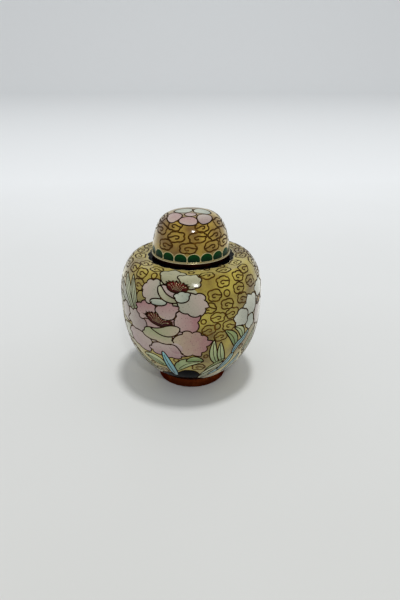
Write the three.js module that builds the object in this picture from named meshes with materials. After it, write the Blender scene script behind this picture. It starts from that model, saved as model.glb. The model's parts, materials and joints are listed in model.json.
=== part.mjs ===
// A small covered ginger jar in cloisonne: a hollow enamelled copper vessel on a bare copper
// foot ring, closed by a hollow enamelled dome lid with a bare metal rim.
// Millimetres, +Z up. The origin is the centre of the circle that the jar stands on.
import * as THREE from "three";

// Jar body, outside
const bodyRadius = 30.53; // at the widest place
const widestHeight = 43; // of the widest place
const baseRadius = 15.7; // at the bottom of the enamel, on the foot ring
const ledgeRadius = 24.9; // where the rounded shoulder meets the flat ledge
const ledgeHeight = 57.9; // of the flat ledge that the lid stands on

// The outline bends from the widest place to each end by these two powers. A higher bulge
// keeps it upright for longer, and a higher soften rounds the end over.
const lowerCurve = { bulge: 3.16, soften: 1 };
const upperCurve = { bulge: 2.07, soften: 3.72 };

// Jar body, inside
const bodyWall = 2; // copper with enamel on both faces
const floorThickness = 2.2;
const ledgeThickness = 2.4;

// Neck, under the lid
const neckHeight = 7; // above the ledge
const neckWall = 1.5;
const neckRounding = 0.5; // of the lip
const neckClearance = 0.7; // between the neck and the lid round it

// Foot ring
const footHeight = 4.2;
const footRadius = 15.5; // outside
const footShoulder = 0.3; // how much narrower the ring is at its top
const footWall = 2;
const footRounding = 0.5; // of the edges that it stands on
const solderGap = 0.02; // between the ring and the body

// Lid
const lidRadius = 16.5; // outside of the dome, at its bottom
const lidHeight = 18.7; // ledge to crown
const lidTaper = 0.5; // how much the side leans in
const lidCurve = { bulge: 1.8, soften: 4.9 };
const lidWall = 1.7;
const bandHeight = 1.3; // of the plain copper band that the lid stands on
const bandInset = 0.15; // how far the band stands back from the dome
const beadHeight = 0.75; // of the rounded bead on top of the band
const beadProud = 0.2; // how far the bead stands out past the dome
const seatGap = 0.05; // between the band and the ledge
const rimGap = 0.02; // between the dome and the bead

// Facets
const roundSteps = 60; // round the axis
const bodySteps = 10; // from the widest place to each end
const liningSteps = 7; // the same, inside
const domeSteps = 12;
const domeLiningSteps = 9;
const roundingSteps = 2;
const wallSamples = 48; // places tried along a wall's thickness

const colours = {
  groundEnamel: 0xa8934f,
  bareCopper: 0x6e3a1e,
  giltMetal: 0xb59a5c,
};

const quarterTurn = Math.PI / 2;
const neckRadius = lidRadius - lidTaper - lidWall - neckClearance;
const neckBore = neckRadius - neckWall;
const rimBottom = ledgeHeight + seatGap;
const beadBottom = rimBottom + bandHeight;
const domeBottom = beadBottom + beadHeight + rimGap;
const domeHeight = ledgeHeight + lidHeight - beadBottom;

// A list of radius and height pairs, turned round the axis.
function turned(outline) {
  const geometry = new THREE.LatheGeometry(
    outline.map(([r, z]) => new THREE.Vector2(r, z)),
    roundSteps,
  );
  geometry.rotateX(quarterTurn);
  return geometry;
}

// Points along an arc, both ends included. The angles are in quarter turns.
function arc(centreR, centreZ, radiusR, radiusZ, from, to, steps) {
  return Array.from({ length: steps + 1 }, (_, i) => {
    const angle = (from + ((to - from) * i) / steps) * quarterTurn;
    return [centreR + radiusR * Math.cos(angle), centreZ + radiusZ * Math.sin(angle)];
  });
}

// Radius of the body's outside at a height.
function bodyRadiusAt(z) {
  const low = z < widestHeight;
  const end = low ? footHeight : ledgeHeight;
  const endRadius = low ? baseRadius : ledgeRadius;
  const { bulge, soften } = low ? lowerCurve : upperCurve;
  const share = (z - widestHeight) / (end - widestHeight);
  const narrowing = 1 - (endRadius / bodyRadius) ** soften;
  return bodyRadius * (1 - narrowing * share ** bulge) ** (1 / soften);
}

// Radius of the body's lining at a height: a ball as big as the wall is thick, rolled along
// the outside, comes in no further than this.
function liningRadiusAt(z) {
  let radius = Infinity;
  for (let i = 0; i <= wallSamples; i += 1) {
    const rise = bodyWall * ((2 * i) / wallSamples - 1);
    const level = THREE.MathUtils.clamp(z + rise, footHeight, ledgeHeight);
    const reach = Math.sqrt(bodyWall ** 2 - rise ** 2);
    radius = Math.min(radius, bodyRadiusAt(level) - reach);
  }
  return radius;
}

// Points from a lowest to a highest height by way of the widest place, closest together at the
// two ends, where the outline turns fastest.
function bodyOutline(radiusAt, lowest, highest, steps) {
  const share = (i) => Math.sin((i / steps) * quarterTurn);
  const heights = [];
  for (let i = steps; i > 0; i -= 1) heights.push(widestHeight - (widestHeight - lowest) * share(i));
  for (let i = 0; i <= steps; i += 1) heights.push(widestHeight + (highest - widestHeight) * share(i));
  return heights.map((z) => [radiusAt(z), z]);
}

// The vessel: floor, wall, flat ledge and neck in one, open at the top.
function jarBody() {
  const floorTop = footHeight + floorThickness;
  const ledgeUnderside = ledgeHeight - ledgeThickness;
  const roundingHeight = ledgeHeight + neckHeight - neckRounding;
  const lining = bodyOutline(liningRadiusAt, floorTop, ledgeUnderside, liningSteps);
  return turned([
    [0, footHeight],
    ...bodyOutline(bodyRadiusAt, footHeight, ledgeHeight, bodySteps),
    [neckRadius, ledgeHeight],
    ...arc(neckRadius - neckRounding, roundingHeight, neckRounding, neckRounding, 0, 1, roundingSteps),
    ...arc(neckBore + neckRounding, roundingHeight, neckRounding, neckRounding, 1, 2, roundingSteps),
    [neckBore, ledgeUnderside],
    ...lining.reverse(),
    [0, floorTop],
  ]);
}

// The bare copper ring that the jar stands on, a little narrower at its top.
function footRing() {
  const top = footHeight - solderGap;
  const bore = footRadius - footWall;
  return turned([
    [bore, footRounding],
    ...arc(bore + footRounding, footRounding, footRounding, footRounding, 2, 3, roundingSteps).slice(1),
    ...arc(footRadius - footRounding, footRounding, footRounding, footRounding, -1, 0, roundingSteps),
    [footRadius, top / 2],
    [footRadius - footShoulder, top],
    [bore, top],
    [bore, footRounding],
  ]);
}

// Points up a dome from its bottom to its crown, made smaller all over by an inset. The curve
// starts from the bottom of the bead.
function domeOutline(inset, steps) {
  const radius = lidRadius - inset;
  const height = domeHeight - inset;
  const lowest = (domeBottom - beadBottom) / height;
  const points = Array.from({ length: steps }, (_, i) => {
    const share = lowest + (1 - lowest) * Math.sin((i / steps) * quarterTurn);
    const narrowing = (1 - share ** lidCurve.bulge) ** (1 / lidCurve.soften);
    return [(radius - lidTaper * share) * narrowing, beadBottom + height * share];
  });
  return [...points, [0, beadBottom + height]];
}

// The enamelled dome, hollow and open below.
function lidDome() {
  const lining = domeOutline(lidWall, domeLiningSteps);
  return turned([...lining.reverse(), ...domeOutline(0, domeSteps)]);
}

// The bare metal ring along the dome's bottom edge: an upright band with a rounded bead on top.
function lidRim() {
  const half = beadHeight / 2;
  const bore = lidRadius - lidWall;
  const bandRadius = lidRadius - bandInset;
  return turned([
    [bore, rimBottom],
    [bandRadius, rimBottom],
    [bandRadius, beadBottom],
    ...arc(bandRadius, beadBottom + half, bandInset + beadProud, half, -1, 1, 2 * roundingSteps).slice(1),
    [bore, beadBottom + beadHeight],
    [bore, rimBottom],
  ]);
}

function piece(name, geometry, colour, roughness, metalness) {
  const material = new THREE.MeshStandardMaterial({ color: colour, roughness, metalness });
  const mesh = new THREE.Mesh(geometry, material);
  mesh.name = name;
  return mesh;
}

const jar = new THREE.Group();
jar.add(
  piece("jar_body", jarBody(), colours.groundEnamel, 0.2, 0),
  piece("foot_ring", footRing(), colours.bareCopper, 0.4, 1),
  piece("lid_dome", lidDome(), colours.groundEnamel, 0.2, 0),
  piece("lid_rim", lidRim(), colours.giltMetal, 0.3, 1),
);

export default jar;
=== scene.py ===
import json
import math
import random

import bpy
import numpy as np
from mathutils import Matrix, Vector, kdtree
from mathutils.geometry import delaunay_2d_cdt

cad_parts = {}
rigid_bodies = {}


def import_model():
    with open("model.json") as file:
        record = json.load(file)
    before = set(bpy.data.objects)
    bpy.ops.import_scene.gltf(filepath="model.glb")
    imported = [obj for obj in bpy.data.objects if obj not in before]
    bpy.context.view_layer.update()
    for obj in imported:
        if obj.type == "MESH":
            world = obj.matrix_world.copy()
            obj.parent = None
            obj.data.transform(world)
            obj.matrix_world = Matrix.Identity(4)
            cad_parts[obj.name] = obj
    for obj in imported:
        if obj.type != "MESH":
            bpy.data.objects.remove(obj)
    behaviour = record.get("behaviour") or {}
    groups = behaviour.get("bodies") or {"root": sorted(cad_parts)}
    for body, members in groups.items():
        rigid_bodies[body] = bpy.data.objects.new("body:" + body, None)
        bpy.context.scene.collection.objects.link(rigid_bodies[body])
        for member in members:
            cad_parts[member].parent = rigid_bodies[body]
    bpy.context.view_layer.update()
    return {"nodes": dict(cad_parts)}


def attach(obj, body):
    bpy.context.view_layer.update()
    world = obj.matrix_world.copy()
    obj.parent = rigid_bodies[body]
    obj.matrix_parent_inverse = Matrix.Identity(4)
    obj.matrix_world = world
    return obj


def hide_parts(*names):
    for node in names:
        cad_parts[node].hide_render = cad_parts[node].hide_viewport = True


# A covered ginger jar in cloisonne. Every motif is placed by its angle round the jar in degrees
# (0 is the front, more is to the right) and its way up the outside in millimetres, and is
# painted on a smooth skin read from the CAD outline. Sizes are in millimetres until a mesh is made.

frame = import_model()
mm = 0.001
rng = random.Random(11)


def nodeOutline(name):
    mesh = frame["nodes"][name].data
    flat = np.zeros(len(mesh.vertices) * 3)
    mesh.vertices.foreach_get("co", flat)
    x, y, z = flat.reshape(-1, 3).T / mm
    return np.unique(np.round(np.stack([np.hypot(x, y), z], 1), 3), axis=0)


# The outside of a turned form from its bottom edge up: the right side of its convex hull.
def outsideOf(points):
    chain = []
    for p in sorted(points.tolist(), key=lambda q: (q[1], -q[0])):
        while len(chain) > 1:
            (ar, az), (br, bz) = chain[-2:]
            if (br - ar) * (p[1] - bz) - (bz - az) * (p[0] - br) > 0:
                break
            chain.pop()
        chain.append(p)
    return np.array(chain)


# A smooth curve through points, as many dimensions as they have, sampled about every step.
def smoothCurve(points, step, endSlope=None):
    p = np.asarray(points, float)
    t = np.r_[0, np.cumsum(np.linalg.norm(np.diff(p, axis=0), axis=1))]
    chord = np.diff(p, axis=0) / np.diff(t)[:, None]
    gap = np.diff(t)[:, None]
    slope = np.zeros_like(p)
    slope[1:-1] = (chord[:-1] * gap[1:] + chord[1:] * gap[:-1]) / (gap[:-1] + gap[1:])
    slope[0] = 1.5 * chord[0] - 0.5 * slope[1] if len(p) > 2 else chord[0]
    slope[-1] = 1.5 * chord[-1] - 0.5 * slope[-2] if len(p) > 2 else chord[-1]
    if endSlope is not None:
        slope[-1] = endSlope
    out = []
    for i in range(len(p) - 1):
        h = t[i + 1] - t[i]
        u = np.linspace(0, 1, max(2, int(math.ceil(h / step)) + 1))[:-1, None]
        out.append((2 * u ** 3 - 3 * u ** 2 + 1) * p[i] + (u ** 3 - 2 * u ** 2 + u) * h * slope[i]
                   + (3 * u ** 2 - 2 * u ** 3) * p[i + 1] + (u ** 3 - u ** 2) * h * slope[i + 1])
    return np.vstack(out + [p[-1:]])


# A skin is a table along the outside: way up s, radius r, height z, normal, and the radius rho
# of a flat polar map that keeps angles, so cells can be cut flat and come out true.
def makeSkin(outline, rising, endSlope=None):
    fine = smoothCurve(outline, 0.02, endSlope)
    way = np.r_[0, np.cumsum(np.hypot(*np.diff(fine, axis=0).T))]
    s = np.linspace(0, way[-1], int(way[-1] / 0.04))
    r, z = np.interp(s, way, fine[:, 0]), np.interp(s, way, fine[:, 1])
    dr, dz = np.gradient(r, s), np.gradient(z, s)
    size = np.hypot(dr, dz)
    step = np.diff(s) / np.maximum((r[1:] + r[:-1]) / 2, 0.005)
    turn = np.r_[0, np.cumsum(step)]
    rho = np.exp(turn if rising else -turn)
    if not rising:
        rho[-1] = 0
    return {"s": s, "r": r, "z": z, "nr": dz / size, "nz": -dr / size, "rho": rho, "end": s[-1]}


def on(skin, key, s):
    return np.interp(s, skin["s"], skin[key])


def around(r, theta, *z):
    return np.stack([r * np.sin(theta), -r * np.cos(theta), *z], -1)


# Places on a skin, theta in radians.
def lay(skin, theta, s):
    return around(on(skin, "r", s), theta, on(skin, "z", s))


def normalOf(skin, theta, s):
    return around(on(skin, "nr", s), theta, on(skin, "nz", s))


def flatten(skin, theta, s):
    return around(on(skin, "rho", s), theta)


def unflatten(skin, xy):
    rho = np.hypot(xy[:, 0], xy[:, 1])
    theta = np.arctan2(xy[:, 0], -xy[:, 1])
    if skin["rho"][-1] > 1:
        return theta, np.interp(rho, skin["rho"], skin["s"])
    return theta, np.interp(rho, skin["rho"][::-1], skin["s"][::-1])


shoulder = {"rounding": 0.8, "flatSteps": (1.6, 3.5, 6.0, 8.5)}
rimOutline = nodeOutline("lid_rim")
bodyPoints = nodeOutline("jar_body")
ledgeHeight = bodyPoints[bodyPoints[:, 0] > rimOutline[:, 0].max() + 1][:, 1].max()
bodyChain = outsideOf(bodyPoints[bodyPoints[:, 1] <= ledgeHeight + 0.001])
corner, neckFoot = bodyChain[-2], bodyChain[-1]
keep = np.hypot(*(bodyChain - corner).T) > shoulder["rounding"]
keep[-1] = False
flatTop = [[corner[0] - shoulder["rounding"], corner[1]]]
flatTop += [[corner[0] - step, corner[1]] for step in shoulder["flatSteps"]]
bodySkin = makeSkin(np.vstack([bodyChain[keep], flatTop, [neckFoot]]), True)
lidChain = outsideOf(nodeOutline("lid_dome"))
lidSkin = makeSkin(lidChain, False, endSlope=[-1, 0])
print("skins:", round(bodySkin["end"], 2), "mm up the body,", round(lidSkin["end"], 2), "mm up the lid")


# A drawing holds filled cells in painting order, and wires. A later cell covers earlier ones and
# their wires. Turn and mirror carry a whole group of motifs round to the jar's other side.
def newDrawing(skin):
    return {"skin": skin, "cells": [], "wires": [], "turn": 0.0, "mirror": 1}


def spot(art, theta):
    return math.radians(art["turn"] + art["mirror"] * theta)


# Points in a motif's own millimetres, right and up, set down round a place.
def place(art, theta, s, u, v, tilt=0.0):
    c, d = math.cos(math.radians(tilt)), math.sin(math.radians(tilt))
    right, up = u * c - v * d, u * d + v * c
    way = np.clip(s + up, 0.2, art["skin"]["end"] - 0.02)
    return spot(art, theta) + art["mirror"] * right / np.maximum(on(art["skin"], "r", way), 1), way


def turnBetween(angle, other):
    return np.angle(np.exp(1j * (angle - other)))


def evenTurn(count):
    return np.linspace(0, 2 * math.pi, count, endpoint=False)


# A circle's angles, and how far a squared-off circle reaches at each.
def squaredCircle(count, power):
    t = evenTurn(count)
    return t, (np.abs(np.cos(t)) ** power + np.abs(np.sin(t)) ** power) ** (-1 / power)


# hook is a share of the width of its cloud's wire
wireWidth = {"outline": 0.54, "vein": 0.32, "cloud": 0.57, "lidCloud": 0.64, "hook": 0.92, "collar": 0.36,
             "lappet": 0.34, "stamen": 0.1, "stamenEnd": 0.12, "base": 0.45}


def addWire(art, theta, s, width=wireWidth["outline"], closed=False, finish="dark"):
    art["wires"].append({"theta": np.array(theta), "s": np.array(s), "width": width, "closed": closed,
                         "finish": finish, "order": len(art["cells"]) - 1})


# Grade is the direction, in degrees, in which the cell's enamel goes from its first tint to its
# second.
def addCell(art, theta, s, paint, grade=90.0, width=wireWidth["outline"], finish="dark", edged=True):
    art["cells"].append({"theta": np.array(theta), "s": np.array(s), "paint": paint,
                         "grade": math.radians(grade if art["mirror"] > 0 else 180 - grade)})
    if edged:
        addWire(art, theta, s, width, True, finish)


petalForm = {"step": 0.34, "squareness": 2.3, "uneven": (0.75, 1.25), "shrink": 0.4, "lobe": 0.27,
             "lobePower": 0.45, "spike": 0.42, "spikePower": 1.2, "tip": 0.2, "tipWidth": 9}


# A rounded petal, its edge drawn out in lobes or spikes along part of the way round, with sharp
# tips at some angles.
def petal(art, theta, s, width, height, tilt=0, lobes=0, span=(0, 360), depth=petalForm["lobe"], tips=(),
          paint="white", grade=90, edged=True, spiky=False):
    form = petalForm
    count = int(max(24, math.pi * (width + height) / 2 / form["step"]))
    t, grow = squaredCircle(count, form["squareness"])
    if lobes:
        first, reach = math.radians(span[0]), math.radians(span[1] - span[0])
        u = ((t - first) % (2 * math.pi)) / reach
        sizes = np.array([rng.uniform(*form["uneven"]) for _ in range(lobes)])
        size = sizes[np.clip((u * lobes).astype(int), 0, lobes - 1)]
        wave = np.abs(np.sin(math.pi * lobes * u))
        lobed = depth * size * ((1 - wave) ** form["spikePower"] if spiky else wave ** form["lobePower"])
        grow = grow * (1 - depth * form["shrink"]) * (1 + np.where(u <= 1, lobed, 0))
    for tip in tips:
        away = np.degrees(np.abs(turnBetween(t, math.radians(tip))))
        grow = grow * (1 + form["tip"] * np.exp(-away / form["tipWidth"]))
    u = width / 2 * grow * np.cos(t)
    v = height / 2 * grow * np.sin(t)
    there, way = place(art, theta, s, u, v, tilt)
    addCell(art, there, way, paint, grade, edged=edged)


# A path through places, sampled evenly, with the sideways direction at each sample.
def pathOn(art, points, step=0.35):
    skin = art["skin"]
    base = on(skin, "r", np.mean([p[1] for p in points]))
    places = [(spot(art, p[0]) * base, p[1]) for p in points]
    line = smoothCurve(places, step)
    theta, s = line[:, 0] / base, line[:, 1]
    r = on(skin, "r", s)
    along = np.stack([np.gradient(theta) * r, np.gradient(s)], 1)
    along /= np.linalg.norm(along, axis=1)[:, None]
    return theta, s, -along[:, 1] / r, along[:, 0]


# A leaf or stem along a path. Veins are wires along it, each at a share of the half width.
# It is widest near its start if swell is small, and near its end if it is large.
def blade(art, points, width, paint, veins=(), bluntness=0.75, grade=90, swell=0.85, lowest=0.25):
    theta, s, side, rise = pathOn(art, points)
    t = np.linspace(0, 1, len(theta))
    half = width / 2 * np.sin(math.pi * t ** swell) ** bluntness
    half[0] = half[-1] = 0.0
    left = theta + half * side, np.maximum(s + half * rise, lowest)
    right = theta - half * side, np.maximum(s - half * rise, lowest)
    addCell(art, *(np.r_[a, b[-2:0:-1]] for a, b in zip(left, right)), paint, grade)
    ends = len(t) // 8 # a vein stops short of both ends
    inner = slice(max(1, ends), max(3, len(t) - ends))
    for share in veins:
        vein = theta + share * half * side, np.maximum(s + share * half * rise, lowest)
        addWire(art, vein[0][inner], vein[1][inner], wireWidth["vein"])


cloudForm = {"squareness": 2.6, "pinches": 5, "first": 38, "wander": 12, "depth": (0.1, 0.2),
             "pinchWidth": 13, "pinchPower": 1.5, "tilt": 8,
             "hook": [(0.47, -0.06), (0.24, 0.0), (0.02, 0.11), (-0.18, 0.02), (-0.12, -0.16), (0.04, -0.17)]}


# One wire bent into a cloud: a loop pinched in a few places, whose end hooks in to the middle.
def cloud(art, theta, s, width, height, tilt=0.0, flip=1, line=wireWidth["cloud"]):
    form = cloudForm
    t, swell = squaredCircle(60, form["squareness"])
    for i in range(form["pinches"]):
        wander = rng.uniform(-form["wander"], form["wander"])
        pinch = math.radians(form["first"] + 360 / form["pinches"] * i + wander)
        away = np.degrees(np.abs(turnBetween(t, pinch)))
        pinched = np.exp(-(away / form["pinchWidth"]) ** form["pinchPower"])
        swell = swell * (1 - rng.uniform(*form["depth"]) * pinched)
    across, up = width / 2 * swell * np.cos(t) * flip, height / 2 * swell * np.sin(t)
    there, way = place(art, theta, s, across, up, tilt)
    addWire(art, there, way, line, True, "brown")
    hook = smoothCurve(form["hook"], 0.05)
    there, way = place(art, theta, s, hook[:, 0] * width * flip, hook[:, 1] * height, tilt)
    addWire(art, there, way, line * wireWidth["hook"], False, "brown")


def anyTilt():
    return rng.uniform(-cloudForm["tilt"], cloudForm["tilt"])


def ring(art, theta, s, radius, line=wireWidth["cloud"]):
    t = evenTurn(18)
    there, way = place(art, theta, s, radius * np.cos(t), radius * np.sin(t))
    addWire(art, there, way, line, True, "brown")


# Rows of petals: angle, way up, width, height, tilt, lobes, their arc, enamel, grade, sharp tips.
upperPeony = [
    (-16.9, 59.6, 9.6, 8.8, 0, 3, (-5, 185), "white", 90, (92,)),
    (-0.6, 57.6, 8.6, 6.6, -5, 5, (-40, 170), "white", 90, (70,)),
    (-30.0, 52.4, 9.2, 9.0, 5, 5, (55, 265), "blushWhite", 180, (175,)),
    (-24.5, 48.7, 7.4, 2.8, 5, 0, (0, 360), "greyGreen", 90, ()),
    (0.6, 49.3, 12.0, 8.8, -18, 5, (-130, 80), "blushWhite", 0, (5, -42)),
    (-17.0, 52.4, 9.4, 5.6, -25, 0, (0, 360), "lilac", 180, ()),
]
lowerPeony = [
    (-60.0, 38.5, 9.0, 8.5, -20, 3, (90, 250), "lilac", 180, (170,)),
    (-58.5, 30.5, 9.5, 7.5, 10, 3, (120, 300), "white", 180, ()),
    (-44.3, 37.2, 11.2, 9.2, -15, 4, (85, 270), "lilac", 180, (150, 205)),
    (-34.0, 44.0, 10.8, 7.6, 18, 5, (30, 240), "pink", 120, (60, 140)),
    (-24.2, 40.9, 12.6, 5.6, -12, 13, (0, 200), "red", 90, ()),
    (-17.7, 45.0, 8.8, 7.4, 0, 4, (5, 195), "pinkWhite", 90, (88, 30)),
    (-3.6, 40.9, 9.8, 9.2, 0, 5, (-80, 135), "pink", 0, (28, -38)),
    (-42.5, 29.2, 13.8, 9.2, -12, 3, (130, 320), "lilacPink", 230, (185,)),
    (-19.7, 27.5, 14.8, 7.4, -4, 5, (180, 360), "lilacPink", 270, (335,)),
    (-1.3, 31.3, 14.8, 11.2, 0, 7, (-110, 110), "creamPink", 0, (8, -60)),
    (-25.8, 34.2, 14.6, 6.2, -6, 2, (190, 340), "creamGreen", 270, ()),
]
sideFlower = [
    (83.0, 43.5, 9.0, 8.0, -20, 4, (-60, 130), "lilac", 0, (30,)),
    (69.5, 47.3, 9.0, 7.2, 0, 4, (0, 180), "coolWhite", 90, (70,)),
    (70.0, 37.6, 11.6, 12.0, -10, 4, (-130, 40), "lilac", 300, (-70,)),
    (54.6, 42.8, 8.6, 9.6, 15, 3, (10, 200), "coolWhite", 120, (100, 160)),
    (54.0, 36.0, 6.2, 7.0, 0, 3, (180, 350), "greyGreen", 250, ()),
    (43.6, 39.7, 7.8, 7.6, -10, 4, (90, 340), "coolWhite", 180, (185, 240)),
    (68.0, 42.6, 5.8, 4.0, 10, 8, (0, 180), "red", 90, ()),
]


def flower(art, rows, paints):
    for theta, s, width, height, tilt, lobes, span, paint, grade, tips in rows:
        spiky = paint == "red"
        petal(art, theta, s, width, height, tilt, lobes, span, petalForm["spike" if spiky else "lobe"], tips,
              paints.get(paint, paint), grade, spiky=spiky)


stamenForm = {"foot": (0.2, -0.28), "spread": 0.45, "drop": 0.42, "bow": 0.05, "lengths": (0.6, 0.9),
              "ring": 0.17}


# Fine bright wires that spread from the foot of a red flower centre, each with a ring at its end.
def stamens(art, theta, s, width, height, count, tilt):
    form = stamenForm
    t = evenTurn(10)
    for i in range(count):
        share = 2 * (i + 0.5) / count - 1
        tall = rng.uniform(*form["lengths"]) * math.sqrt(1.12 - share ** 2)
        foot = share * width * form["foot"][0], height * form["foot"][1]
        end = share * width * form["spread"], height * (tall - form["drop"])
        knee = foot[0] * 0.5 + end[0] * 0.5 - share * width * form["bow"], foot[1] * 0.4 + end[1] * 0.6
        line = smoothCurve([foot, knee, end], 0.25)
        there, way = place(art, theta, s, line[:, 0], line[:, 1], tilt)
        addWire(art, there, way, wireWidth["stamen"], False, "bright")
        across, up = end[0] + form["ring"] * np.cos(t), end[1] + form["ring"] * np.sin(t)
        there, way = place(art, theta, s, across, up, tilt)
        addWire(art, there, way, wireWidth["stamenEnd"], True, "bright")


# The dark ground under the plants: the lumps of its top edge, by angle and way up.
moundForm = {"radius": 20, "bottom": 0.3, "steps": 38, "top": [
    (-50, 0.3), (-40, 5.2), (-33, 9.2), (-26, 11.0), (-19, 11.6), (-12, 13.2), (-5.5, 15.4), (2.5, 15.1),
    (8, 12.0), (11, 7.5), (15, 3.5), (24, 2.2), (36, 1.6), (40, 0.3)]}


def mound(art):
    r, bottom, steps = moundForm["radius"], moundForm["bottom"], moundForm["steps"]
    top = smoothCurve([(spot(art, a) * r, b) for a, b in moundForm["top"]], 0.4)
    theta = np.r_[top[:, 0] / r, np.linspace(top[-1, 0], top[0, 0], steps + 2)[1:-1] / r]
    addCell(art, theta, np.maximum(np.r_[top[:, 1], np.full(steps, bottom)], bottom), "navy")


# Leaves and stems: places along each, width, enamel, and then what blade takes after those.
leftLeaves = [
    ([(-55, 41.5), (-66, 43.5), (-82, 45)], 4.0, "paleGreen"),
    ([(-50, 40), (-60, 45.5), (-76, 51)], 4.4, "coolWhite"),
    ([(-47.5, 41.0), (-55, 47.5), (-68, 55)], 4.6, "whiteGreen"),
    ([(-45.5, 42), (-49.5, 49), (-57, 56)], 3.6, "whiteGreen"),
    ([(-34, 10.5), (-45, 15), (-57, 23.5)], 3.8, "paleGreen"),
    ([(-43, 6), (-56, 12), (-68, 21)], 3.8, "leafGreen"),
    ([(-60, 5), (-70, 14), (-76, 26)], 3.4, "paleGreen"),
]
lowLeaves = [
    ([(-22.4, 17.2), (-32, 20.6), (-43.5, 21.6)], 5.2, "paleGreen", (0.0, 0.45)),
    ([(-13.5, 14.6), (-5, 20.6), (11, 21.8)], 5.2, "paleGreen", (-0.3,), 0.75, 0),
    ([(-3.5, 22.0), (3.5, 23.4), (10.6, 21.9)], 2.8, "leafGreen", (), 0.6),
    ([(-15.8, 9.0), (-18.2, 17), (-22.8, 26.4)], 3.6, "turquoise", (0.15,), 0.45),
    ([(54, 15), (63, 20), (72, 28)], 3.8, "paleGreen", (0.0,)),
    ([(50, 21), (58, 25.5), (65, 31)], 3.6, "leafGreen", (0.0,)),
    ([(61, 9), (72, 15), (80, 24)], 3.8, "leafGreen", (0.0,)),
    ([(37, 8), (43, 14), (47, 21)], 3.4, "turquoise", (0.0,)),
    ([(23.4, 18.6), (18.4, 26), (18.6, 32.7)], 3.5, "paleGreen", (0.0,)),
    ([(29, 18.8), (25.0, 25), (24.2, 31)], 3.3, "paleGreen", (0.1,)),
    ([(38.8, 26.2), (35.2, 32), (26.8, 36.2)], 3.6, "leafGreen", (0.15,)),
    ([(46.0, 29.0), (42.5, 34), (35.6, 36.2)], 3.2, "paleGreen", (0.0,)),
    ([(13.5, 14.0), (21, 18.0), (31, 21.0)], 2.4, "leafGreen", (0.0,), 0.6),
    ([(10.5, 9.5), (20, 15.2), (32, 18.6)], 3.2, "whiteGreen", (-0.1,), 0.5),
    ([(9.0, 5.5), (19, 11.4), (31, 15.4)], 3.6, "whiteGreen", (-0.35, 0.3), 0.5),
    ([(18, 9.5), (27, 13.4), (34, 18.4)], 2.2, "turquoise", (), 0.6),
    ([(27, 13.0), (33.5, 18.0), (38.4, 24.2)], 3.2, "blue", (0.1,), 0.5, 0),
    ([(37.0, 22.6), (40.5, 26.6), (46.5, 28.6), (53.0, 31.8)], 2.9, "blue", (0.0,), 0.45),
]


def spray(art, paints):
    # patches without a wire fill what the petals leave open
    def petalPatch(theta, s, width, height, tilt, paint, grade=90):
        petal(art, theta, s, width, height, tilt, paint=paints.get(paint, paint), grade=grade, edged=False)

    mound(art)
    for row in leftLeaves:
        blade(art, *row, veins=(-0.35, 0.3))
    petal(art, -40.2, 48.6, 5.4, 5.6, paint="olive")
    petalPatch(63.0, 41.0, 13.0, 8.0, 0, "white")
    flower(art, sideFlower, paints)
    stamens(art, 68.0, 42.6, 4.6, 3.0, 5, 10)
    petalPatch(-13.8, 53.2, 20.4, 7.6, -8, "white")
    petalPatch(-8.0, 49.4, 14.0, 6.0, -8, "white")
    petalPatch(-24.0, 37.0, 30.0, 14.0, -8, "pinkWhite")
    flower(art, lowerPeony, paints)
    stamens(art, -24.6, 41.2, 10.8, 5.0, 9, -12)
    blade(art, [(-32.0, 36.8), (-21.0, 36.2), (-7.6, 38.6)], 4.9, "creamGreen", grade=0, bluntness=0.62,
          swell=1.7)
    petalPatch(-11.2, 28.9, 5.4, 5.2, -30, "lilacPink", 270)
    fold = pathOn(art, [(-17.4, 30.6), (-12.0, 30.4), (-8.6, 28.4), (-6.4, 25.8)], 0.25)
    addWire(art, *fold[:2])
    flower(art, upperPeony, paints)
    petal(art, -10.4, 55.2, 9.6, 4.8, -8, 11, (-10, 190), 0.4, paint="red", spiky=True)
    stamens(art, -10.4, 55.4, 8.6, 4.6, 8, -8)
    blade(art, [(-25.4, 55.2), (-20.5, 51.6), (-9.0, 49.8)], 2.8, "white", bluntness=0.4, grade=180)
    petal(art, -5.9, 51.4, 6.2, 4.3, 8, 3, (10, 170), 0.28, paint="greyGreen", grade=180)
    for row in lowLeaves:
        blade(art, *row)
    ring(art, -11.9, 22.2, 1.1)


# Angles and ways up of the clouds beside the front spray; the rest are strewn.
frontClouds = [
    (16.0, 60.6), (36.5, 62.3), (28.3, 56.5), (45.2, 57.0), (57.0, 58.8), (62.0, 63.8), (19.1, 51.8),
    (41.6, 52.5), (57.5, 53.0), (14.0, 47.0), (28.9, 47.5), (43.7, 48.0), (33.0, 43.2), (14.0, 37.5),
    (23.7, 33.8), (21.0, 42.6), (-47.4, 58.0), (-45.8, 53.3), (-37.5, 62.8), (-59.5, 63.6), (-62.0, 58.6),
]
frontRings = [(29.4, 51.8), (9.9, 41.5), (-33.0, 58.5), (5.5, 44.6), (20.6, 38.6), (6.5, 60.8)]


# True where a place lies inside a closed outline, both on the flat map.
def insideOf(outline, x, y):
    ax, ay = outline[:, :1], outline[:, 1:]
    bx, by = np.roll(ax, -1, 0), np.roll(ay, -1, 0)
    crosses = (ay > y) != (by > y)
    rise = np.where(by == ay, 1e-12, by - ay)
    return (crosses & (x < (bx - ax) * (y - ay) / rise + ax)).sum(0) % 2 == 1


# True where two motifs would overlap, each given as an angle, a way up and two half sizes.
def crowded(skin, one, other):
    r = float(on(skin, "r", one[1]))
    across = abs(math.remainder(one[0] - other[0], 2 * math.pi)) * r / (one[2] + other[2])
    up = abs(one[1] - other[1]) / (one[3] + other[3])
    return across ** 2.5 + up ** 2.5 < 1


def flatCells(skin, cells):
    return [flatten(skin, c["theta"], c["s"]) for c in cells]


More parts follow.
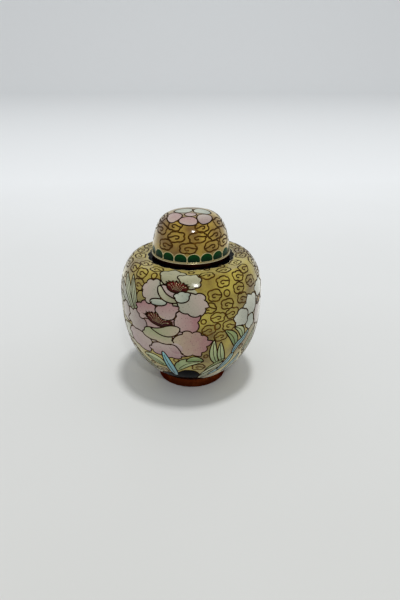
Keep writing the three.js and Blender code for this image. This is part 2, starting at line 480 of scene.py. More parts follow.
# The edges of cells, to measure how far a place is from them.
def edgesOf(skin, cells):
    tree = kdtree.KDTree(sum(len(c["theta"]) for c in cells))
    for c in cells:
        for p in lay(skin, c["theta"], c["s"]):
            tree.insert(p, 0)
    tree.balance()
    return tree


strewForm = {"aside": 0.4, "rise": 0.35, "ring": (0.85, 1.2), "ringApart": 0.3, "ringClear": 0.5,
             "cloudClear": 0.42, "grow": (0.9, 1.06)}


# Clouds on staggered rows, and small rings in what is left, clear of the filled cells.
def strew(art, taken, low, high, size, apart, first, rings, line):
    skin, form = art["skin"], strewForm
    cells = art["cells"][first:]
    edges = edgesOf(skin, cells)
    tries, row, s = [], 0, low
    while s < high:
        r = float(on(skin, "r", s))
        count = max(6, int(round(2 * math.pi * r / apart[0])))
        for i in range(count):
            aside = rng.uniform(-form["aside"], form["aside"]) / r
            rise = rng.uniform(-form["rise"], form["rise"])
            tries.append((2 * math.pi * (i + 0.5 * (row % 2)) / count + aside, s + rise, 0.0))
        s += apart[1]
        row += 1
    tries += [(rng.uniform(0, 2 * math.pi), rng.uniform(low - 2, high + 1), rng.uniform(*form["ring"]))
              for _ in range(rings)]
    theta, s, radii = np.array(tries).T
    flat, places = flatten(skin, theta, s), lay(skin, theta, s)
    free = np.ones(len(tries), bool)
    for outline in flatCells(skin, cells):
        free &= ~insideOf(outline, flat[:, 0], flat[:, 1])
    for i in np.where(free)[0]:
        small = radii[i] > 0
        half = (radii[i] + form["ringApart"],) * 2 if small else (size[0] / 2, size[1] / 2)
        motif = (theta[i], s[i]) + half
        clear = radii[i] + form["ringClear"] if small else size[1] * form["cloudClear"]
        if edges.find(places[i])[2] < clear or any(crowded(skin, motif, other) for other in taken):
            continue
        angle = math.degrees(theta[i])
        if small:
            ring(art, angle, s[i], radii[i], line)
        else:
            grow = rng.uniform(*form["grow"])
            cloud(art, angle, s[i], size[0] * grow, size[1] * grow, anyTilt(), rng.choice((1, 1, -1)), line)
        taken.append(motif)


bodyArt = newDrawing(bodySkin)
collar = {"steps": 480, "lobes": 20, "cusps": 17.9, "tips": 18.6, "turn": 0.16, "power": 0.6}
base = {"band": 1.2, "wire": 0.3}
frontMotifs = {"width": (5.6, 6.3), "height": (4.2, 4.7), "cloudHalf": (3.0, 2.3), "ring": (1.0, 1.3),
               "ringHalf": (1.3, 1.3)}
backTints = {"pink": "lilac", "creamPink": "pinkWhite", "lilac": "white", "lilacPink": "pink"}

# the yellow ground ends in scallops round the lid, and in a dark band at the bottom; beyond the scallops the
# sheet keeps its near-black navy, a collar that is partly a dark enamel band and partly painted shade of the
# gap under the lid
t = evenTurn(collar["steps"])
scallop = np.abs(np.sin(collar["lobes"] / 2 * (t - collar["turn"]))) ** collar["power"]
scallopRadius = collar["cusps"] + (collar["tips"] - collar["cusps"]) * scallop
scallopWay = bodySkin["end"] - (scallopRadius - neckFoot[0])
addCell(bodyArt, t, scallopWay, "ground", width=wireWidth["collar"], finish="bright")
addCell(bodyArt, t, np.full(len(t), base["band"]), "navy")
firstMotif = len(bodyArt["cells"])
frontTaken = []
for theta, s in frontClouds:
    cloud(bodyArt, theta, s, rng.uniform(*frontMotifs["width"]), rng.uniform(*frontMotifs["height"]),
          anyTilt(), rng.choice((1, 1, 1, -1)))
    frontTaken.append((math.radians(theta), s) + frontMotifs["cloudHalf"])
for theta, s in frontRings:
    ring(bodyArt, theta, s, rng.uniform(*frontMotifs["ring"]))
    frontTaken.append((math.radians(theta), s) + frontMotifs["ringHalf"])
spray(bodyArt, {})
bodyArt.update(turn=180.0, mirror=-1)
spray(bodyArt, backTints)
bodyArt.update(turn=0.0, mirror=1)
strew(bodyArt, frontTaken, low=13.0, high=65.0, size=(5.9, 4.5), apart=(6.5, 5.0), first=firstMotif,
      rings=500, line=wireWidth["cloud"])
print("body:", len(bodyArt["cells"]), "cells,", len(bodyArt["wires"]), "wires")


lidArt = newDrawing(lidSkin)
lappets = {"count": 19, "radius": 2.74, "tall": 2.4, "middle": 1.35, "bottom": 0.12, "first": 4.9,
           "bend": (-30, 210), "steps": 30, "across": 10}
# each petal: its middle's distance from the flower's, width, length and enamel
crownFlower = {"back": 4.5, "first": -8.0, "heart": 2.2, "heartWide": 1.1, "ruffle": 0.06, "flare": 0.14,
               "petals": [
                   (5.3, 7.4, 5.2, "pinkWhite"), (6.2, 7.6, 5.8, "lilac"), (6.5, 8.0, 6.0, "greyGreen"),
                   (6.1, 7.8, 5.8, "greyGreen"), (6.6, 7.6, 6.2, "pinkWhite")]}
# each cloud: its angle, way up and width; the rest are strewn
lidClouds = {"height": 4.3, "half": 2.1, "rows": [
    (-58.5, 12.0, 7.4), (-23.1, 10.2, 7.6), (12.3, 10.2, 7.6), (44.0, 10.4, 7.4), (-40.0, 6.5, 7.0),
    (-3.0, 6.0, 7.2), (34.0, 6.2, 7.2), (-30.0, 14.6, 6.4), (66.0, 14.4, 6.4), (22.0, 14.2, 5.8)]}


# Points in millimetres over the crown, seen from above, as angle and way up.
def overCrown(x, y):
    return np.arctan2(x, -y), lidSkin["end"] - np.hypot(x, y)


lidTaken = []
for theta, s, width in lidClouds["rows"]:
    cloud(lidArt, theta, s, width, lidClouds["height"], anyTilt(), rng.choice((1, 1, -1)),
          wireWidth["lidCloud"])
    lidTaken.append((math.radians(theta), s, width / 2, lidClouds["half"]))
t = evenTurn(40)
for i, (reach, width, length, paint) in enumerate(crownFlower["petals"]):
    direction = math.radians(crownFlower["first"] + 72 * i)
    outX, outY = math.sin(direction), -math.cos(direction)
    grow = 1 + crownFlower["ruffle"] * np.abs(np.sin(1.5 * t))
    along = reach + length / 2 * np.sin(t) * grow
    aside = width / 2 * np.cos(t) * grow * (1 + crownFlower["flare"] * np.sin(t))
    x = outX * along - outY * aside
    y = -crownFlower["back"] + outY * along + outX * aside
    addCell(lidArt, *overCrown(x, y), paint)
x = crownFlower["heart"] * np.cos(t) * crownFlower["heartWide"]
y = -crownFlower["back"] + crownFlower["heart"] * np.sin(t)
addCell(lidArt, *overCrown(x, y), "pinkWhite")
bend = np.radians(np.linspace(*lappets["bend"], lappets["steps"]))
across = lappets["across"]
u = lappets["radius"] * np.cos(bend)
v = np.maximum(lappets["middle"] + lappets["tall"] * np.sin(bend), lappets["bottom"])
u, v = np.r_[u, np.linspace(u[-1], u[0], across + 2)[1:-1]], np.r_[v, np.full(across, lappets["bottom"])]
for i in range(lappets["count"]):
    there, way = place(lidArt, lappets["first"] + 360 * i / lappets["count"], 0.0, u, v)
    addCell(lidArt, there, way, "deepGreen", width=wireWidth["lappet"], finish="bright")
strew(lidArt, lidTaken, low=7.0, high=17.0, size=(7.2, 4.2), apart=(8.4, 4.4), first=0, rings=30,
      line=wireWidth["lidCloud"])
print("lid:", len(lidArt["cells"]), "cells,", len(lidArt["wires"]), "wires")


def srgb(colour):
    shares = [c / 255 for c in colour]
    return tuple(c / 12.92 if c <= 0.04 else ((c + 0.055) / 1.055) ** 2.4 for c in shares) + (1.0,)


# Ways to fill a material's node tree. A value may be a constant or another node's output.
def nodeTools(name):
    material = bpy.data.materials.new(name)
    material.use_nodes = True
    tree = material.node_tree
    tree.nodes.clear()

    def give(target, value):
        if isinstance(value, bpy.types.NodeSocket):
            tree.links.new(value, target)
        else:
            target.default_value = value

    def add(kind, output=0, **values):
        node = tree.nodes.new("ShaderNode" + kind)
        for key, value in values.items():
            if key in node.inputs:
                give(node.inputs[key], value)
            else:
                setattr(node, key, value)
        return node.outputs[output] if node.outputs else None

    def combine(operation, *parts, clamped=False):
        node = tree.nodes.new("ShaderNodeMath")
        node.operation, node.use_clamp = operation, clamped
        for target, part in zip(node.inputs, parts):
            give(target, part)
        return node.outputs[0]

    def ranged(value, low, high, fromLow=0.0, fromHigh=1.0):
        ends = {"From Min": fromLow, "From Max": fromHigh, "To Min": low, "To Max": high}
        return add("MapRange", Value=value, **ends)

    def between(share, first, second):
        node = tree.nodes.new("ShaderNodeMix")
        node.data_type = "RGBA"
        for slot, value in ((0, share), (6, srgb(first)), (7, srgb(second))):
            give(node.inputs[slot], value)
        return node.outputs[2]

    def finish(**values):
        add("OutputMaterial", Surface=add("BsdfPrincipled", **values))
        return material

    return add, combine, ranged, between, finish


glassForm = {"clouding": 0.3, "cloudScale": 420.0, "grain": (0.82, 1.14), "grainScale": 2600.0,
             "patchSpan": (0.3, 0.7), "patchScale": 95.0, "pitShade": 0.5, "pitSpan": (0.1, 0.2),
             "pitScale": 900.0, "pitBump": 0.25, "pitDepth": 0.00005, "waveBump": 0.35, "waveDepth": 0.00012,
             "roughness": (0.091, 0.182), "rimRoughness": 0.4, "rimTint": (1.0, 1.0, 0.9, 1.0)}


# Fired glass: its tint runs from the first to the second across a cell, clouded and speckled,
# over a surface that is ground nearly flat, with a few pinholes.
def enamel(name, first, second, broad=0.0, shine=0.45, rim=0.75):
    form = glassForm
    add, combine, ranged, between, finish = nodeTools(name)
    where = add("TexCoord", "Object")
    mirrored = add("Mapping", Vector=where, Scale=(-1.0, 1.0, 1.0))
    shade = add("Attribute", "Fac", attribute_name="shade")
    cloudy = add("TexNoise", Vector=where, Scale=form["cloudScale"], Detail=4.0, Roughness=0.6)
    fine = add("TexNoise", Vector=where, Scale=form["grainScale"], Detail=2.0)
    patches = add("TexNoise", Vector=mirrored, Scale=form["patchScale"], Detail=1.5)
    pits = add("TexVoronoi", Vector=where, Scale=form["pitScale"])
    shaded = combine("ADD", shade, ranged(patches, -broad, broad, *form["patchSpan"]))
    share = combine("ADD", shaded, ranged(cloudy, -form["clouding"], form["clouding"]), clamped=True)
    strength = combine("MULTIPLY", ranged(pits, 1 - form["pitShade"], 1.0, *form["pitSpan"]),
                       ranged(fine, *form["grain"]))
    tint = add("VectorMath", operation="SCALE", Vector=between(share, first, second), Scale=strength)
    relief = add("Bump", Strength=form["pitBump"], Distance=form["pitDepth"], Height=strength)
    waves = add("Bump", Strength=form["waveBump"], Distance=form["waveDepth"], Height=cloudy, Normal=relief)
    return finish(IOR=1.52, Roughness=ranged(cloudy, *form["roughness"]), Normal=waves, **{
        "Base Color": tint, "Specular IOR Level": shine, "Sheen Weight": rim,
        "Sheen Roughness": form["rimRoughness"], "Sheen Tint": form["rimTint"]})


metalForm = {"worn": (0.75, 1.05), "scratchScale": 1400.0, "squeeze": (1.0, 1.0, 7.0), "bump": 0.3,
             "depth": 0.00006, "smoothest": 0.7, "roughest": 1.5}


# Metal with a tarnish that gathers in patches, and fine scratches.
def metal(name, clean, tarnish, tarnished, roughness, patch, edge):
    form = metalForm
    add, _, ranged, between, finish = nodeTools(name)
    where = add("TexCoord", "Object")
    squeezed = add("Mapping", Vector=where, Scale=form["squeeze"])
    patches = add("TexNoise", Vector=where, Scale=patch, Detail=5.0, Roughness=0.65)
    scratches = add("TexNoise", Vector=squeezed, Scale=form["scratchScale"], Detail=3.0)
    worn = ranged(patches, 0.0, 1.0, *(end - tarnished * 0.5 for end in form["worn"]))
    relief = add("Bump", Strength=form["bump"], Distance=form["depth"], Height=scratches)
    rough = ranged(scratches, roughness * form["smoothest"], roughness * form["roughest"])
    return finish(Metallic=1.0, Roughness=rough, Normal=relief, **{
        "Base Color": between(worn, tarnish, clean), "Specular Tint": (edge, edge ** 2, edge ** 3, 1.0)})


# First and second tint of each enamel.
enamelTints = {
    "ground": ((100, 76, 12), (182, 166, 62)),
    # the lid's ground: the body's ground made darker and browner as painted shade, with its own broader
    # patches
    "lidGround": ((96, 60, 12), (175, 147, 50)),
    "olive": ((100, 88, 22), (150, 134, 48)),
    "white": ((132, 129, 98), (172, 171, 142)),
    "blushWhite": ((150, 152, 132), (176, 157, 146)),
    "coolWhite": ((152, 154, 138), (200, 202, 184)),
    "greyGreen": ((138, 148, 132), (180, 184, 166)),
    "whiteGreen": ((136, 146, 104), (184, 188, 152)),
    "lilac": ((146, 126, 124), (176, 162, 150)),
    "pink": ((178, 156, 146), (154, 103, 106)),
    "pinkWhite": ((178, 160, 150), (156, 114, 114)),
    "lilacPink": ((180, 164, 154), (150, 114, 116)),
    "creamPink": ((176, 162, 132), (150, 99, 103)),
    "creamGreen": ((142, 154, 106), (178, 162, 138)),
    "red": ((40, 1, 1), (92, 4, 4)),
    "paleGreen": ((100, 124, 62), (184, 192, 140)),
    "leafGreen": ((62, 100, 36), (148, 162, 96)),
    "turquoise": ((50, 124, 142), (122, 180, 182)),
    "blue": ((54, 116, 132), (126, 168, 166)),
    "deepGreen": ((0, 22, 10), (3, 66, 20)),
    "navy": ((0, 1, 2), (5, 6, 10)),
    "counter": ((44, 104, 116), (78, 140, 146)),
}
# these differ from the other enamels
enamelWays = {"navy": {"shine": 0.02, "rim": 0}, "deepGreen": {"shine": 0.06, "rim": 0.1},
              "red": {"shine": 0.15, "rim": 0}, "ground": {"broad": 0.4}, "lidGround": {"broad": 0.55}}
# Each metal's material, clean and tarnished tint, share that is tarnished, roughness, scale of its
# patches, and how bright it stays at a glancing angle.
metalWays = {
    "darkWire": ("tarnishedWire", (84, 52, 20), (28, 16, 7), 0.6, 0.45, 500.0, 0.8),
    "brownWire": ("brownWire", (132, 94, 34), (74, 48, 14), 0.55, 0.45, 500.0, 1.0),
    "brightWire": ("giltWire", (246, 242, 214), (198, 186, 140), 0.35, 0.28, 500.0, 1.0),
    "bareCopper": ("bareCopper", (136, 68, 34), (84, 34, 12), 0.5, 0.36, 140.0, 0.6),
    # the lid's band: bare copper whose near-black tarnished tint is painted shade under the bead
    "bandCopper": ("bandCopper", (84, 38, 20), (34, 14, 8), 0.5, 0.4, 200.0, 0.5),
    "giltEdge": ("giltEdge", (244, 238, 212), (208, 196, 156), 0.35, 0.26, 260.0, 1.0),
}
paintTable = {key: enamel(key + "Enamel", *tints, **enamelWays.get(key, {}))
              for key, tints in enamelTints.items()}
paintTable.update({key: metal(*ways) for key, ways in metalWays.items()})
print("materials:", len(bpy.data.materials))


columns = 192 # round the axis, in turned faces and along a skin's edges
columnAngles = 2 * math.pi * np.arange(columns) / columns


# How far along its cell's grade each place lies, from 0 at the first tint to 1 at the second.
def shadeAcross(skin, cell, theta, s):
    middle, level = np.mean(cell["theta"]), np.mean(cell["s"])
    r = max(float(on(skin, "r", level)), 3.0)

    def along(theta, s):
        aside = turnBetween(theta, middle) * r
        return aside * math.cos(cell["grade"]) + (s - level) * math.sin(cell["grade"])

    edge = along(cell["theta"], cell["s"])
    return (along(theta, s) - edge.min()) / max(edge.max() - edge.min(), 0.1)


sheetForm = {"bodyStep": 1.25, "lidStep": 1.0, "stretch": 1.1, "edgeClear": 0.22}


# Cuts a drawing's cells out of its skin in one sheet of triangles, each with its own enamel.
def cutSheet(art, ground, gridStep):
    skin = art["skin"]
    rising = skin["rho"][-1] > 1
    points, outlines = [], []
    for flat in flatCells(skin, art["cells"]):
        outline = list(range(len(points), len(points) + len(flat)))
        ahead = np.roll(flat, -1, 0)
        if (flat[:, 0] * ahead[:, 1] - ahead[:, 0] * flat[:, 1]).sum() < 0:
            outline.reverse() # the cutter takes outlines anticlockwise
        outlines.append(outline)
        points += flat.tolist()
    cellEdges = edgesOf(skin, art["cells"])
    edges = []
    for s in [0.0] + ([skin["end"]] if rising else []):
        loop = list(range(len(points), len(points) + columns)) # anticlockwise already
        points += flatten(skin, columnAngles, np.full(columns, s)).tolist()
        edges += list(zip(loop, loop[1:] + loop[:1]))
        if s == 0.0 and rising:
            outlines.append(loop)
    rows = int(skin["end"] / gridStep)
    for k in range(1, rows):
        s = skin["end"] * k / rows
        r = float(on(skin, "r", s))
        count = max(6, int(2 * math.pi * r / (gridStep * sheetForm["stretch"])))
        turns = 2 * math.pi * (np.arange(count) + 0.5 * (k % 2)) / count
        for theta, p in zip(turns, lay(skin, turns, np.full(count, s))):
            if cellEdges.find(p)[2] > sheetForm["edgeClear"]:
                points.append(flatten(skin, theta, s).tolist())
    if not rising:
        points.append([0.0, 0.0])
    xy, _, tris, _, _, origins = delaunay_2d_cdt([Vector(p) for p in points], edges, outlines, 0, 1e-6)
    xy = np.array([(p.x, p.y) for p in xy])
    hole = len(art["cells"]) if rising else -1 # what the body's bottom edge goes round
    kept = [(t, max(o) if o else -1) for t, o in zip(tris, origins) if hole not in o]
    faces = np.array([t for t, _ in kept])
    owner = np.array([o for _, o in kept])
    theta, s = unflatten(skin, xy)
    places, normals = lay(skin, theta, s), normalOf(skin, theta, s)
    a, b, c = (places[faces[:, i]] for i in range(3))
    backwards = (np.cross(b - a, c - a) * normals[faces[:, 0]]).sum(1) < 0
    faces[backwards] = faces[backwards][:, ::-1]
    shade = np.full(faces.shape, 0.5)
    for k, cell in enumerate(art["cells"]):
        mine = owner == k
        if mine.any() and cell["paint"] not in ("ground", "navy"):
            shade[mine] = shadeAcross(skin, cell, theta[faces[mine]], s[faces[mine]])
    paints = [ground if o < 0 else art["cells"][o]["paint"] for o in owner]
    return {"places": places, "normals": normals, "faces": faces, "paints": paints, "shade": shade, "s": s}


# Quads between neighbouring rows of points, and from the last row to the first if closed.
def quadsOf(rows, across, closed, start=0):
    corners = (0, 0), (0, 1), (1, 1), (1, 0)
    return [tuple(start + (i + a) % rows * across + (k + b) % across for a, b in corners)
            for i in range(rows if closed else rows - 1) for k in range(across)]


# Places round the axis, a ring for each radius and height. A ring at radius nothing is one point.
def turnRings(outline):
    return [around(r, columnAngles, np.full(columns, z)) if r > 1e-4 else np.array([[0.0, 0.0, z]])
            for r, z in outline]


# A sheet with the rest of its hollow form in one mesh. Each further stretch is turned from an
# outline of radius and height, with its paint, the way up at which it joins the sheet, if it does,
# and 1 or -1 for the side that it faces.
def assemble(name, sheet, stretches):
    places, faces, paints = [sheet["places"]], sheet["faces"].tolist(), list(sheet["paints"])
    shades, cornerNormals = sheet["shade"].ravel().tolist(), sheet["normals"][sheet["faces"].ravel()].tolist()
    count = len(sheet["places"])
    for outline, paint, weld, outward in stretches:
        outline = np.asarray(outline, float)
        rings = turnRings(outline)
        slope = np.gradient(outline, axis=0)
        slope /= np.maximum(np.linalg.norm(slope, axis=1), 1e-9)[:, None]
        normals = [around(z * outward, columnAngles, np.full(columns, -r * outward)) for r, z in slope]
        indexOf = []
        for k, here in enumerate(rings):
            if k == 0 and weld is not None:
                edge = np.where(np.abs(sheet["s"] - weld) < 1e-4)[0]
                offsets = [sheet["places"][edge] - p for p in here]
                indexOf.append([int(edge[np.argmin((d ** 2).sum(1))]) for d in offsets])
            else:
                indexOf.append(list(range(count, count + len(here))))
                places.append(here)
                count += len(here)
        for k in range(len(rings) - 1):
            low, high = indexOf[k], indexOf[k + 1]
            for i in range(columns):
                j = (i + 1) % columns
                quad = [(row[col % len(row)], level, col)
                        for row, level, col in ((low, k, i), (low, k, j), (high, k + 1, j), (high, k + 1, i))]
                if outward < 0:
                    quad.reverse()
                corners = {}
                for v, level, col in quad:
                    corners.setdefault(v, normals[level][col])
                if len(corners) > 2:
                    faces.append(tuple(corners))
                    paints.append(paint)
                    cornerNormals += [n.tolist() for n in corners.values()]
                    shades += [0.5] * len(corners)
    return finishMesh(name, np.vstack(places), faces, paints, shades, cornerNormals)


def inScene(name, data):
    obj = bpy.data.objects.new(name, data)
    bpy.context.scene.collection.objects.link(obj)
    return obj


def finishMesh(name, places, faces, paints, shades=(), cornerNormals=()):
    mesh = bpy.data.meshes.new(name)
    mesh.from_pydata((np.asarray(places) * mm).tolist(), [], faces)
    used = sorted(set(paints))
    for key in used:
        mesh.materials.append(paintTable[key])
    mesh.polygons.foreach_set("material_index", [used.index(p) for p in paints])
    mesh.polygons.foreach_set("use_smooth", [True] * len(faces))
    if shades:
        mesh.attributes.new("shade", "FLOAT", "CORNER").data.foreach_set("value", shades)
        mesh.normals_split_custom_set(cornerNormals)
    return inScene(name, mesh)


# A skin's own outline moved inwards by a wall, between two heights, from the top down.
def liningOf(skin, wall, low, high, count):
    r, z = skin["r"] - wall * skin["nr"], skin["z"] - wall * skin["nz"]
    kept = np.stack([r, z], 1)[(z > low) & (z < high) & (r > 0.01)]
    return kept[np.linspace(len(kept) - 1, 0, count).astype(int)]


def arcPoints(centreR, centreZ, radius, first, last, steps, tall=None):
    return [[centreR + radius * math.cos(a), centreZ + (tall or radius) * math.sin(a)]
            for a in np.radians(np.linspace(first, last, steps + 1))]


inside = {"wall": 2.0, "floor": 2.2, "ledge": 2.4, "neckWall": 1.5, "lip": 0.5, "lipSteps": 5,
          "liningSteps": 34, "ease": 0.5, "neckRise": 0.4, "corner": 0.6, "flat": (10.0, 5.0, 0.0),
          "hollow": 0.02, "low": 0.3, "high": 0.1}
neckTop, bodyBottom = bodyPoints[:, 1].max(), bodyPoints[:, 1].min()
baseRadius = bodyChain[0, 0]
neckBore = neckFoot[0] - inside["neckWall"]
lip = inside["lip"]
underLedge = ledgeHeight - inside["ledge"]
floorTop = bodyBottom + inside["floor"]
neckMiddle = (ledgeHeight + neckTop) / 2
neckEnd = [neckBore, underLedge + inside["ease"]]
lining = liningOf(bodySkin, inside["wall"], floorTop + inside["low"], underLedge - inside["high"],
                  inside["liningSteps"])
neckOutline = ([[neckFoot[0], z] for z in (ledgeHeight, ledgeHeight + inside["neckRise"], neckMiddle)]
               + arcPoints(neckFoot[0] - lip, neckTop - lip, lip, 0, 90, inside["lipSteps"])
               + arcPoints(neckBore + lip, neckTop - lip, lip, 90, 180, inside["lipSteps"])
               + [[neckBore, neckMiddle], neckEnd])
ledgeMiddle = (neckBore + lining[0][0]) / 2
liningOutline = ([neckEnd, [neckBore + inside["ease"], underLedge], [ledgeMiddle, underLedge]]
                 + lining.tolist()
                 + [[r, floorTop] for r in (lining[-1][0] - inside["corner"],) + inside["flat"]])
underside = ([[baseRadius, bodyBottom], [baseRadius - inside["corner"], bodyBottom]]
             + [[r, bodyBottom + inside["hollow"]] for r in inside["flat"]])

# navy fills what no cell covers: the collar round the neck, partly painted shade of the gap under the lid
bodySheet = cutSheet(bodyArt, "navy", sheetForm["bodyStep"])
print("body sheet:", len(bodySheet["faces"]), "triangles")
jarEnamel = assemble("jar_enamel", bodySheet, [
    (neckOutline, "bareCopper", bodySkin["end"], 1),
    (liningOutline, "counter", None, 1),
    (underside, "counter", 0.0, -1),
])

domeInside = {"wall": 1.7, "low": 0.4, "high": 1000.0, "steps": 40, "close": 0.01}
lidBottom = lidChain[0]
domeLining = liningOf(lidSkin, domeInside["wall"], lidBottom[1] + domeInside["low"], domeInside["high"],
                      domeInside["steps"])[::-1]
lidSheet = cutSheet(lidArt, "lidGround", sheetForm["lidStep"])
print("lid sheet:", len(lidSheet["faces"]), "triangles")
lidInner = ([[lidBottom[0], lidBottom[1]], [lidBottom[0] - domeInside["wall"], lidBottom[1]]]
            + domeLining.tolist() + [[0.0, domeLining[-1][1] + domeInside["close"]]])
lidEnamel = assemble("lid_enamel", lidSheet, [(lidInner, "counter", 0.0, -1)])


# The parts of a drawing's wires that no later cell covers.
def clipWires(art):
    skin = art["skin"]
    flats = flatCells(skin, art["cells"])
    boxes = [(f.min(0), f.max(0)) for f in flats]
    out = []
    for wire in art["wires"]:
        flat = flatten(skin, wire["theta"], wire["s"])
        hidden = np.zeros(len(flat), bool)
        low, high = flat.min(0), flat.max(0)
        for k in range(wire["order"] + 1, len(flats)):
            if (boxes[k][0] <= high).all() and (boxes[k][1] >= low).all():
                hidden |= insideOf(flats[k], flat[:, 0], flat[:, 1])
        if not hidden.any():
            out.append(wire)
        if hidden.all() or not hidden.any():
            continue
        start = -int(np.argmax(hidden)) if wire["closed"] else 0
        theta, s, gone = (np.roll(v, start) for v in (wire["theta"], wire["s"], hidden))
        shown = np.where(~gone)[0]
        for run in np.split(shown, np.where(np.diff(shown) > 1)[0] + 1):
            picked = np.arange(run[0] - 1, run[-1] + 2)
            if wire["closed"]:
                picked = picked % len(theta)
            else:
                picked = picked[(picked >= 0) & (picked < len(theta))]
            if len(picked) > 2:
                out.append(dict(wire, theta=theta[picked], s=s[picked], closed=False))
    return out


# Wires are flat strips set on edge in the enamel and ground almost flush: each shows a narrow
# top with softened edges, a few hundredths proud. Flat and shoulder are shares of the half width
# and of how proud the wire is.
wireForm = {"proud": 0.045, "sunk": 0.12, "flat": 0.55, "shoulder": 0.35}


def wireMesh(name, skin, wires, finish):
    form = wireForm
    places, faces = [], []
    count = 0
    for wire in wires:
        theta, s, closed = wire["theta"], wire["s"], wire["closed"]
        centre = lay(skin, theta, s)
        up = normalOf(skin, theta, s)
        along = np.roll(centre, -1, 0) - np.roll(centre, 1, 0) if closed else np.gradient(centre, axis=0)
        along /= np.maximum(np.linalg.norm(along, axis=1), 1e-9)[:, None]
        side = np.cross(along, up)
        half = wire["width"] / 2
        left = [(-half, -form["sunk"]), (-half, form["proud"] * form["shoulder"]),
                (-half * form["flat"], form["proud"])]
        section = left + [(-a, b) for a, b in left[::-1]]
        n, m = len(centre), len(section)
        rings = np.stack([centre + a * side + b * up for a, b in section], 1)
        places.append(rings.reshape(-1, 3))
        faces += quadsOf(n, m, closed, count)
        if not closed:
            faces.append(tuple(count + k for k in range(m - 1, -1, -1)))
            faces.append(tuple(count + (n - 1) * m + k for k in range(m)))
        count += n * m
    print(name + ":", len(faces) * 2, "triangles at most")
    return finishMesh(name, np.vstack(places), faces, [finish] * len(faces))


def finished(wires, finish):
    return [w for w in wires if w["finish"] == finish]


# a wire between the enamel and the foot ring
addWire(bodyArt, evenTurn(columns), np.full(columns, base["wire"]), wireWidth["base"], True)
bodyWires, lidWires = clipWires(bodyArt), clipWires(lidArt)
outlineWires = finished(bodyWires, "dark")
half = len(outlineWires) // 2
wirePieces = [
    wireMesh("cloud_wires", bodySkin, finished(bodyWires, "brown"), "brownWire"),
    wireMesh("front_wires", bodySkin, outlineWires[:half], "darkWire"),
    wireMesh("back_wires", bodySkin, outlineWires[half:], "darkWire"),
    wireMesh("fine_wires", bodySkin, finished(bodyWires, "bright"), "brightWire"),
    wireMesh("lid_wires", lidSkin, finished(lidWires, "brown"), "brownWire"),
    wireMesh("crown_wires", lidSkin, finished(lidWires, "dark"), "darkWire"),
    wireMesh("lappet_wires", lidSkin, finished(lidWires, "bright"), "brightWire"),
]


# A closed turned ring. Its outline runs up the outside and down the inside.
def turnedRing(name, outline, paintAt):
    outline = np.asarray(outline, float)
    middles = (outline + np.roll(outline, -1, 0)) / 2
    paints = [paintAt(middle) for middle in middles for _ in range(columns)]
    faces = quadsOf(len(outline), columns, True)
    obj = finishMesh(name, np.vstack(turnRings(outline)), faces, paints)
    obj.data.set_sharp_from_angle(angle=math.radians(38))
    return obj


# copperShare is how much of the bead's height is bare copper like the band under it; that copper's dark,
# near-black tint is painted shade under the bead
rim = {"bandInset": 0.15, "bead": 0.75, "soft": 0.12, "beadSteps": 12, "copperShare": 0.62}
rimLow, rimHigh = rimOutline[:, 1].min(), rimOutline[:, 1].max()
rimOuter, rimInner = rimOutline[:, 0].max(), rimOutline[:, 0].min()
bandRadius = lidBottom[0] - rim["bandInset"]
beadLow = rimHigh - rim["bead"]
giltLow = beadLow + rim["bead"] * rim["copperShare"]
rimShape = (arcPoints(bandRadius - rim["soft"], rimLow + rim["soft"], rim["soft"], -90, 0, 3)
            + arcPoints(bandRadius, (beadLow + rimHigh) / 2, rimOuter - bandRadius, -90, 90, rim["beadSteps"],
                        rim["bead"] / 2)
            + [[rimInner, z] for z in (rimHigh, (rimLow + rimHigh) / 2, rimLow)])
lidRim = turnedRing("lid_edge", rimShape, lambda p: "giltEdge" if p[1] > giltLow else "bandCopper")

foot = {"soft": 0.5, "softSteps": 6, "shoulder": 0.3, "shoulderPower": 1.5, "bevel": 0.12, "sideTop": 0.15,
        "sideSteps": 9}
footPoints = nodeOutline("foot_ring")
footOuter, footInner, footTop = footPoints[:, 0].max(), footPoints[:, 0].min(), footPoints[:, 1].max()
footSoft, bevel = foot["soft"], foot["bevel"]
side = [[footOuter - foot["shoulder"] * max(0.0, (z / footTop - 0.5) * 2) ** foot["shoulderPower"], z]
        for z in np.linspace(footSoft, footTop - foot["sideTop"], foot["sideSteps"])[1:]]
footShape = (arcPoints(footOuter - footSoft, footSoft, footSoft, -90, 0, foot["softSteps"]) + side
             + [[footOuter - foot["shoulder"] - bevel, footTop], [footInner + bevel, footTop],
                [footInner, footTop - bevel], [footInner, footTop / 2]]
             + arcPoints(footInner + footSoft, footSoft, footSoft, 180, 270, foot["softSteps"]))
footRing = turnedRing("foot_metal", footShape, lambda p: "bareCopper")
print("metal rings made")

for piece, slotName, node in [(jarEnamel, "body_enamel", "jar_body"), (lidEnamel, "lid_enamel", "lid_dome"),
                              (lidRim, "gilt_rim", "lid_rim"), (footRing, "bare_copper", "foot_ring")]:
    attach(piece, "root")
    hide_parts(node)
for piece in wirePieces:
    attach(piece, "root")


# A floor that sweeps up into a wall far behind, and its pale mottled board, in metres. Near is where the
# finer rows under the jar end. The board's tint runs from darker in front to lighter far behind, over the
# span given for it: that change is painted light, and only the mottle is the board's own.
sweep = {"half": 3.0, "near": 0.4, "back": 2.2, "bend": 0.6, "bendStep": 6, "wall": 2.5,
         "tints": ((199, 200, 197), (240, 243, 245)), "paintedLightFade": (-0.15, 0.45), "mottle": 0.12,
         "mottleScale": 9.0, "roughness": 0.6}


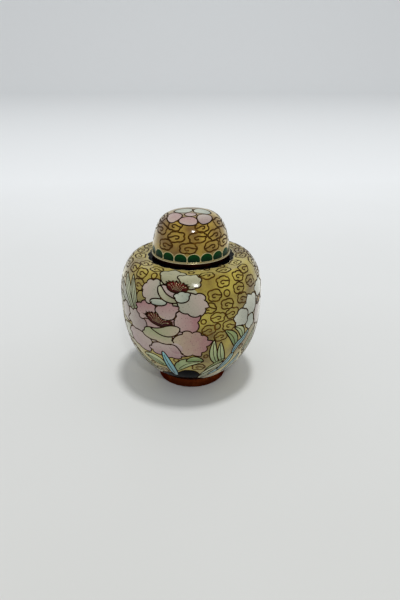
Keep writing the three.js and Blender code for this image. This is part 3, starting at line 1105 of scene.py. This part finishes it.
def makeFloor():
    bend, back, half, near = sweep["bend"], sweep["back"], sweep["half"], sweep["near"]
    rows = [(-half, 0.0), (-near, 0.0), (near, 0.0), (back, 0.0)]
    rows += [(back + bend * math.sin(a), bend * (1 - math.cos(a)))
             for a in np.radians(np.arange(sweep["bendStep"], 91, sweep["bendStep"]))]
    rows.append((back + bend, sweep["wall"]))
    places = [(x, y, z) for y, z in rows for x in (-half, half)]
    faces = [(2 * i, 2 * i + 1, 2 * i + 3, 2 * i + 2) for i in range(len(rows) - 1)]
    mesh = bpy.data.meshes.new("studio_floor")
    mesh.from_pydata(places, [], faces)
    mesh.polygons.foreach_set("use_smooth", [True] * len(faces))
    add, combine, ranged, between, finish = nodeTools("paleBoard")
    where = add("TexCoord", "Object")
    mottle = add("TexNoise", Vector=where, Scale=sweep["mottleScale"], Detail=2.0)
    # painted light: the board gets lighter towards the back
    depth = ranged(add("SeparateXYZ", "Y", Vector=where), 0.0, 1.0, *sweep["paintedLightFade"])
    tint = between(combine("MULTIPLY_ADD", mottle, sweep["mottle"], depth), *sweep["tints"])
    mesh.materials.append(finish(Roughness=sweep["roughness"], **{"Base Color": tint}))
    return inScene("studio_floor", mesh)


makeFloor()

light = {"room": 0.54, "soft": 24.0, "softSize": 0.3, "softAt": (0.17, -0.02, 2.3),
         "spot": 1.05, "spotSize": 0.08, "spotAt": (0.108, -0.632, 0.64), "aim": (0.0, 0.0, 0.04)}
world = bpy.data.worlds.new("room")
world.use_nodes = True
sky = world.node_tree.nodes["Background"].inputs
sky["Color"].default_value, sky["Strength"].default_value = (1.0, 1.0, 1.0, 1.0), light["room"]
bpy.context.scene.world = world


def areaLight(name, power, size, place, glint=True):
    data = bpy.data.lights.new(name, "AREA")
    data.energy, data.size, data.shape = power, size, "DISK"
    obj = inScene(name, data)
    obj.location = place
    obj.rotation_euler = (Vector(place) - Vector(light["aim"])).to_track_quat("Z", "Y").to_euler()
    obj.visible_glossy = glint


areaLight("soft_light", light["soft"], light["softSize"], light["softAt"], glint=False)
areaLight("small_light", light["spot"], light["spotSize"], light["spotAt"])

view = {"aside": 0.00384, "away": 0.22345, "height": 0.03613, "down": 25.58, "lens": 30.0, "sensor": 36.0,
        "nearest": 0.005}
camera = bpy.data.cameras.new("camera")
camera.lens, camera.sensor_width, camera.clip_start = view["lens"], view["sensor"], view["nearest"]
cameraObject = inScene("camera", camera)
down = math.radians(view["down"])
back, rise = view["away"] * math.cos(down), view["away"] * math.sin(down)
cameraObject.location = (view["aside"], -back, view["height"] + rise)
cameraObject.rotation_euler = (math.pi / 2 - down, 0, 0)
bpy.context.scene.camera = cameraObject
bpy.context.scene.view_settings.view_transform = "Standard"
print("stage, lights and camera set")

bpy.context.view_layer.update()
